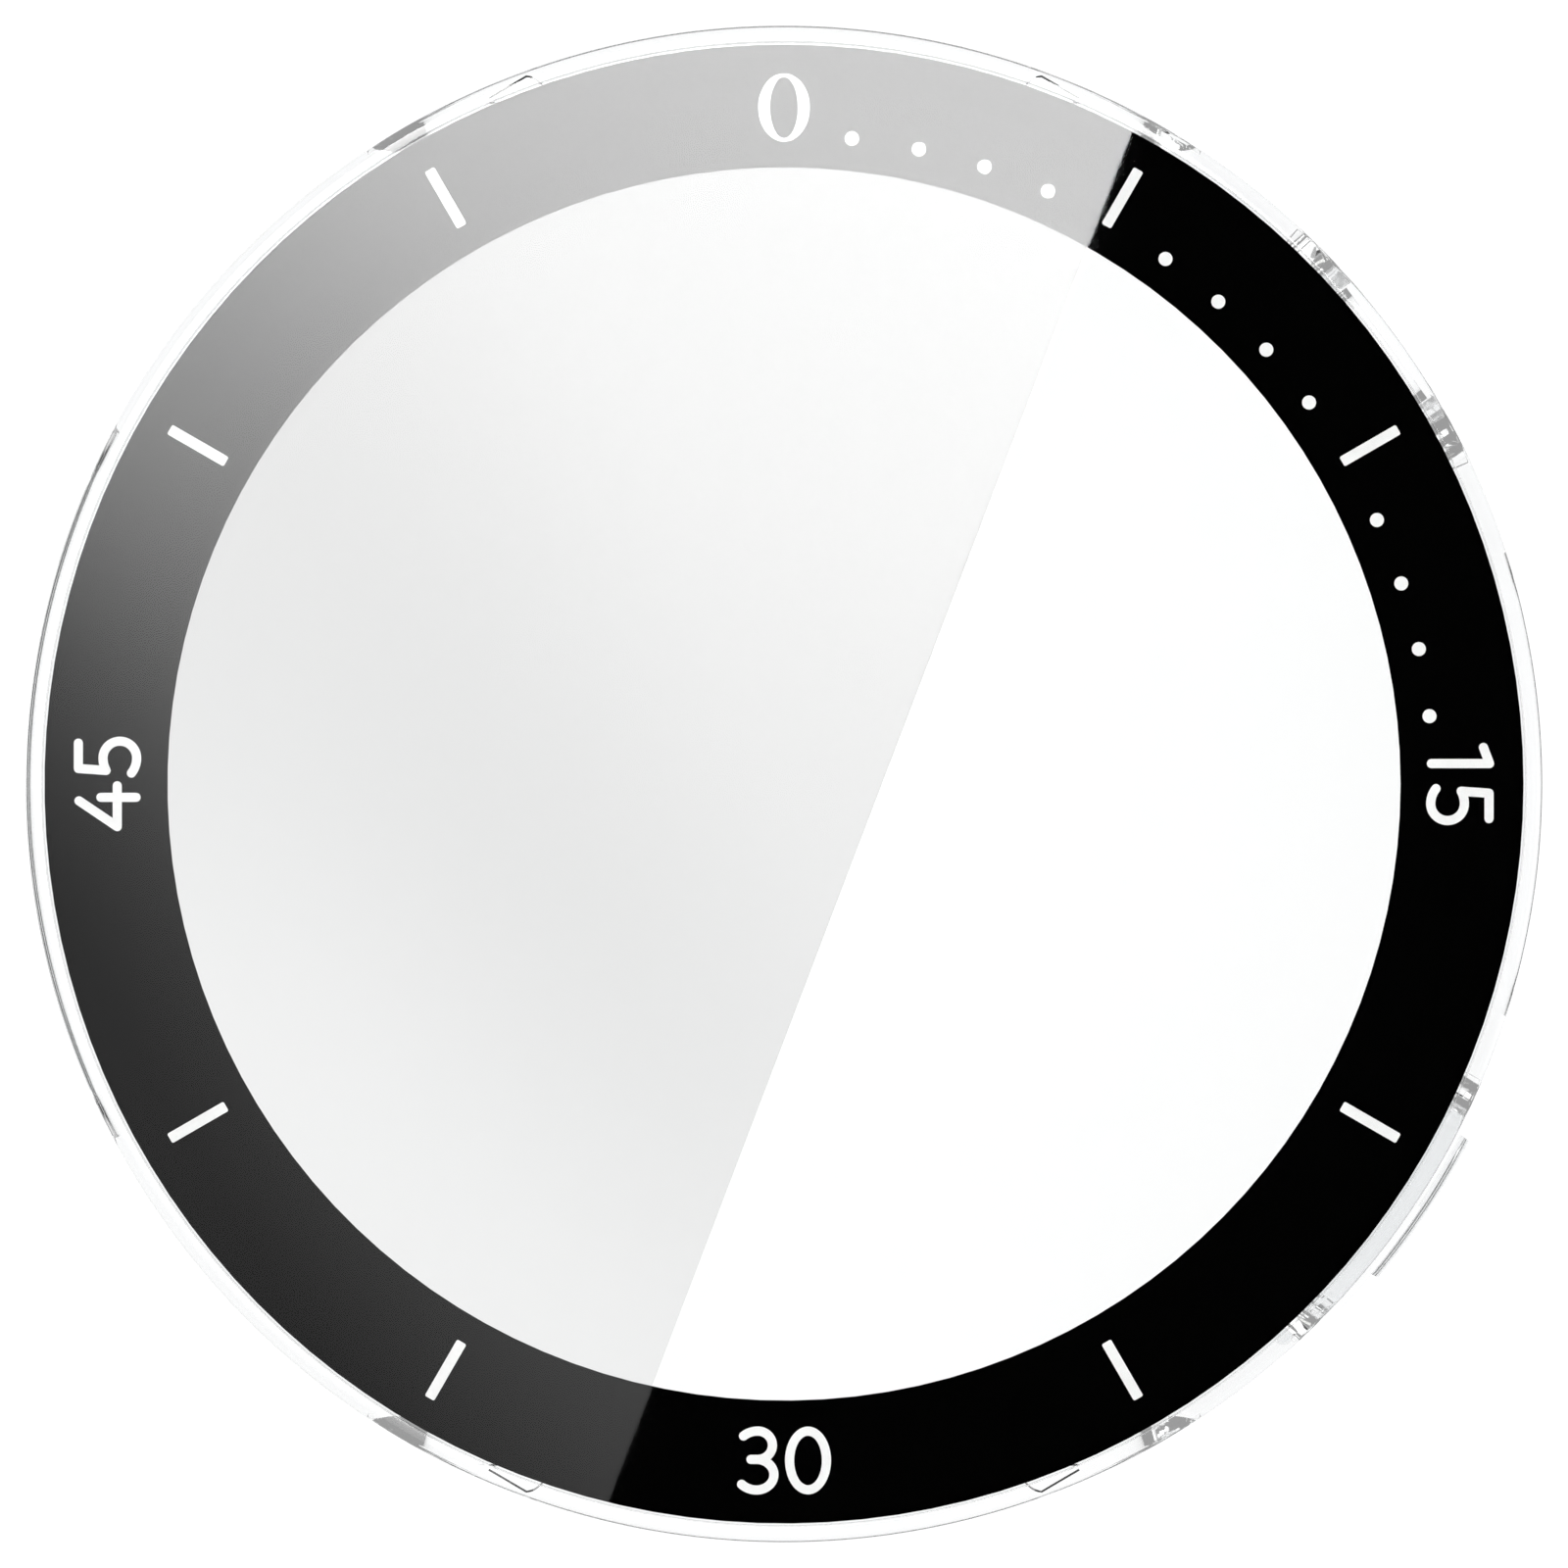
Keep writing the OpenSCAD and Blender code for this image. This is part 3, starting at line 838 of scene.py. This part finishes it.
def sweep(path):
    """Outline of a stroke with round ends along an open path."""
    half = STROKE / 2
    before, after = path[:1] + path[:-1], path[1:] + path[-1:]
    tangents = [(b - a).normalized() for a, b in zip(before, after)]
    normals = [Vector((-t.y, t.x)) for t in tangents]
    outline = [p + n * half for p, n in zip(path, normals)]
    outline += cap(path[-1], normals[-1], half)
    outline += [p - n * half for p, n in reversed(list(zip(path, normals)))]
    outline += cap(path[0], -normals[0], half)
    return outline


def cap(centre, normal, half):
    """Half circle from one side of a stroke's end to the other, without its two end points."""
    start = math.atan2(normal.y, normal.x)
    angles = [start - math.pi * i / CAP_STEPS for i in range(1, CAP_STEPS)]
    return [centre + half * Vector((math.cos(a), math.sin(a))) for a in angles]


def band(outer, inner):
    """Quads between two closed outlines with the same number of points."""
    pairs = list(zip(outer, inner))
    return [[a, b, d, c] for (a, b), (c, d) in zip(pairs, pairs[1:])]


def hollow_oval(centre, outer, inner):
    return band(arc(centre, outer, 0, 360), arc(centre, inner, 0, 360))


def figure_nought():
    """The plain nought of 30, drawn with the same stroke as the other figures."""
    centre, (wide, high) = (0.761, 0), (0.584, 0.929)
    half = STROKE / 2
    return hollow_oval(centre, (wide + half, high + half), (wide - half, high - half))


def top_nought():
    """The nought at 12 o'clock, with thick sides and a thin top and foot."""
    outer, inner = (0.817, 1.078), (0.444, 0.969)
    return hollow_oval((0, 0), outer, inner)


def signed_area(outline):
    """Positive where an outline runs anticlockwise."""
    return sum(a.cross(b) for a, b in zip(outline, outline[1:] + outline[:1])) / 2


def flat_union(outlines):
    """Triangles that cover a set of overlapping outlines, each area once."""
    points, faces = [], []
    for outline in outlines:
        order = outline if signed_area(outline) > 0 else outline[::-1]
        faces.append(list(range(len(points), len(points) + len(order))))
        points += order
    flat = delaunay_2d_cdt(points, [], faces, ALL_TRIANGLES, WELD)
    verts, _, triangles, _, _, sources = flat
    return verts, [t for t, source in zip(triangles, sources) if source]


def print_number(name, outlines, clock, turn, material):
    """A number of white ink: a thin flat solid, its middle on the ring at a clock angle."""
    verts, triangles = flat_union(outlines)
    bm = bmesh.new()
    high = [bm.verts.new((v.x * MM, v.y * MM, PRINT_TOP + INK_RISE)) for v in verts]
    for triangle in triangles:
        bm.faces.new([high[i] for i in triangle])
    bmesh.ops.delete(bm, geom=[v for v in bm.verts if not v.link_faces], context="VERTS")
    bmesh.ops.recalc_face_normals(bm, faces=bm.faces[:])
    if bm.faces[0].normal.z > 0:
        bmesh.ops.reverse_faces(bm, faces=bm.faces[:])
    raised = bmesh.ops.extrude_face_region(bm, geom=bm.faces[:])
    lowered = [v for v in bm.verts if v not in raised["geom"]]
    bmesh.ops.translate(bm, verts=lowered, vec=(0, 0, -INK_RISE - INK_DEPTH))
    bmesh.ops.recalc_face_normals(bm, faces=bm.faces[:])
    spin = Matrix.Rotation(-math.radians(turn), 3, "Z")
    bmesh.ops.rotate(bm, verts=bm.verts[:], cent=(0, 0, 0), matrix=spin)
    angle = math.radians(clock)
    place = (NUMBER_R * math.sin(angle), NUMBER_R * math.cos(angle), 0)
    bmesh.ops.translate(bm, verts=bm.verts[:], vec=place)
    number = mesh_object(name, bm)
    number.data.materials.append(material)
    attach(number, "case")


def numbers(material):
    """The tops of 15 and 45 face outwards, and 30 stands upright below."""
    fifteen = [sweep(path) for path in figure_one() + figure_five(left=0.292, top=0.904)]
    thirty = [sweep(path) for path in figure_three()] + figure_nought()
    forty_five = [sweep(path) for path in figure_four() + figure_five(left=0.491, top=0.924)]
    print_number("number_0", top_nought(), clock=0, turn=0, material=material)
    print_number("number_15", fifteen, clock=90, turn=90, material=material)
    print_number("number_30", thirty, clock=180, turn=0, material=material)
    print_number("number_45", forty_five, clock=270, turn=270, material=material)


def finishes():
    """Every piece of the case, made or dressed with its material."""
    plastic, glass, white = clear_plastic_with_painted_glow(), clear_glass(), white_ink()
    case_shell(plastic)
    button_lever(plastic)
    dress("glass_adhesive", bonding_film())
    dress("bezel_print", black_ink())
    dress("five_minute_bars", white)
    dress("minute_dots", white)
    cover_glass(glass)
    numbers(white)


def plane(name, corners, z):
    """A flat piece of the stage."""
    bm = bmesh.new()
    bm.faces.new([bm.verts.new((x, y, z)) for x, y in corners])
    obj = mesh_object(name, bm)
    return obj


def square(half):
    return [(-half, -half), (half, -half), (half, half), (-half, half)]


def left_of_edge(radius):
    """Outline of the part of a disc that lies left of the softbox's straight edge on the glass."""
    foot, top = photo_point(EDGE_FOOT), photo_point(EDGE_TOP)
    along = (top - foot).normalized()
    left = Vector((-along.y, along.x))
    middle = math.degrees(math.atan2(left.y, left.x))
    reach = math.degrees(math.acos(foot.dot(left) / radius))
    return arc((0, 0), (radius, radius), middle - reach, middle + reach)


def seen_only_by(obj, *kinds):
    """Hides a piece of the stage from all kinds of rays but these."""
    for kind in ("camera", "diffuse", "glossy", "transmission", "volume_scatter", "shadow"):
        setattr(obj, "visible_" + kind, kind in kinds)


def opal_acrylic():
    """The light table's sheet, which glows evenly."""
    m = Nodes("opal_acrylic")
    m.set(Specular_IOR_Level=0.0, Emission_Color=(1, 1, 1, 1), Emission_Strength=PANEL_GLOW)
    grain = m.noise(400, detail=3)
    m.tint(grain, (0.055, 0.055, 0.055), (0.065, 0.065, 0.065))
    m.roughness(m.spread(grain, 0.8, 0.95))
    return m.material


def floor():
    """A light table, whose even glow fills the clear parts from below."""
    sheet = plane("floor", square(FLOOR_HALF), FLOOR_Z)
    sheet.data.materials.append(opal_acrylic())


def sky():
    """Soft light from all round for the ink and the table, and a dim room for the clear parts."""
    world = bpy.data.worlds.new("studio")
    world.use_nodes = True
    bpy.context.scene.world = world
    tree = world.node_tree
    background = tree.nodes["Background"]
    background.inputs["Color"].default_value = (1, 1, 1, 1)
    coords = tree.nodes.new("ShaderNodeTexCoord")
    split = tree.nodes.new("ShaderNodeSeparateXYZ")
    room = tree.nodes.new("ShaderNodeMapRange")
    path = tree.nodes.new("ShaderNodeLightPath")
    lit = tree.nodes.new("ShaderNodeMix")
    seen = tree.nodes.new("ShaderNodeMix")
    room.inputs["To Min"].default_value = SKY_LOW
    room.inputs["To Max"].default_value = SKY_HIGH
    lit.inputs["B"].default_value = SKY_LIGHT
    seen.inputs["B"].default_value = SKY_SEEN
    for source, target in (
        (coords.outputs["Generated"], split.inputs[0]),
        (split.outputs["Z"], room.inputs["Value"]),
        (path.outputs["Diffuse Depth"], lit.inputs["Factor"]),
        (room.outputs["Result"], lit.inputs["A"]),
        (path.outputs["Is Camera Ray"], seen.inputs["Factor"]),
        (lit.outputs["Result"], seen.inputs["A"]),
        (seen.outputs["Result"], background.inputs["Strength"]),
    ):
        tree.links.new(source, target)


def black_cloth():
    """Cloth that mirrors as black."""
    m = Nodes("black_cloth")
    m.set(Specular_IOR_Level=0.0, Base_Color=(0, 0, 0, 1))
    return m.material


def shaded_felt():
    """Felt that is black at its foot and grey towards its top."""
    m = Nodes("shaded_felt")
    m.set(Specular_IOR_Level=0.0)
    place = m.add("ShaderNodeSeparateXYZ")
    m.join(m.coords, place.inputs[0])
    height = m.spread(place.outputs["Z"], 0, 1, FELT_DARK_Z, FELT_GREY_Z)
    m.tint(height, (0.03, 0.03, 0.03), (0.3, 0.3, 0.3))
    m.roughness(m.spread(m.noise(300, detail=4), 0.85, 1.0))
    return m.material


def softbox_glow(grow):
    """Brightest towards 1 o'clock, falling off to the lower left."""
    m = Nodes("softbox_glow")
    fall = m.greys(m.along(*GLOW_FALL, grow), GLOW_FALL_TONES)
    side = m.greys(m.along(*GLOW_SIDE, grow), GLOW_SIDE_TONES)
    glow = m.add("ShaderNodeEmission", Strength=GLOW_PEAK)
    m.join(m.crossed(fall, side), glow.inputs["Color"])
    m.surface(glow.outputs["Emission"])
    return m.material


def softbox_card(distance):
    """Softbox mirrored in the glass alone, with one straight edge, under a black cloth."""
    grow = 1 + CARD_HEIGHT / distance
    z = GLASS_TOP + CARD_HEIGHT
    card = plane("softbox", [p * grow for p in left_of_edge(GLASS_R)], z)
    card.data.materials.append(softbox_glow(grow))
    seen_only_by(card, "glossy")
    cloth = plane("black_cloth", square(CLOTH_HALF), z + CARD_GAP)
    cloth.data.materials.append(black_cloth())
    seen_only_by(cloth, "glossy")


def painted_shade_gel():
    """Painted shade: a grey filter that lets least light through towards 1 o'clock, where the
    softbox is brightest.
    """
    m = Nodes("painted_shade_gel")
    fall = m.greys(m.along(*SHADE_SHEET_FALL), SHADE_SHEET_FALL_TONES)
    side = m.greys(m.along(*SHADE_SHEET_SIDE), SHADE_SHEET_SIDE_TONES)
    # Painted shade: the grey scales darken whatever is seen through the window here
    clear = m.add("ShaderNodeBsdfTransparent")
    m.join(m.crossed(fall, side), clear.inputs["Color"])
    m.surface(clear.outputs["BSDF"])
    return m.material


def painted_window_shade():
    """Painted shade: a grey sheet on the light table under the window, left of the softbox's edge,
    seen only through the glass.
    """
    shade_sheet = plane("painted_window_shade", left_of_edge(SHADE_SHEET_R), FLOOR_Z / 2)
    shade_sheet.data.materials.append(painted_shade_gel())
    seen_only_by(shade_sheet, "transmission")


def edge_flags():
    """A low felt band round the case, out of the picture, which darkens the clear edges."""
    bm = bmesh.new()
    bridge(bm, [round_ring(bm, FLAG_R, z, FLAG_STEPS) for z in (FLAG_LOW_Z, FLAG_HIGH_Z)])
    flags = mesh_object("edge_flags", bm)
    flags.data.materials.append(shaded_felt())
    seen_only_by(flags, "glossy", "transmission")


def strip_lamps():
    """Two soft rectangular lamps at the sides, aimed at the case."""
    for side in (-1, 1):
        data = bpy.data.lights.new("strip", "AREA")
        data.shape = "RECTANGLE"
        data.size, data.size_y = STRIP_SIZE
        data.energy = STRIP_POWER
        obj = link(bpy.data.objects.new("strip", data))
        x, y, z = STRIP_PLACE
        obj.location = (x * side, y * side, z)
        obj.rotation_euler = (-obj.location).to_track_quat("-Z", "Y").to_euler()


def camera():
    """Looks straight down; the picture's side spans the photograph's width at the glass."""
    data = bpy.data.cameras.new("camera")
    data.sensor_width = SENSOR
    data.lens = LENS
    data.clip_end = CLIP_END
    distance = PHOTO_SIDE * PIXEL * LENS / SENSOR
    obj = link(bpy.data.objects.new("camera", data))
    obj.location = (0, 0, GLASS_TOP + distance)
    bpy.context.scene.camera = obj
    return distance


def studio():
    """Camera, light table, lights and what the clear parts mirror and refract."""
    distance = camera()
    floor()
    sky()
    softbox_card(distance)
    painted_window_shade()
    edge_flags()
    strip_lamps()
    bpy.context.scene.view_settings.view_transform = "Standard"


finishes()
studio()
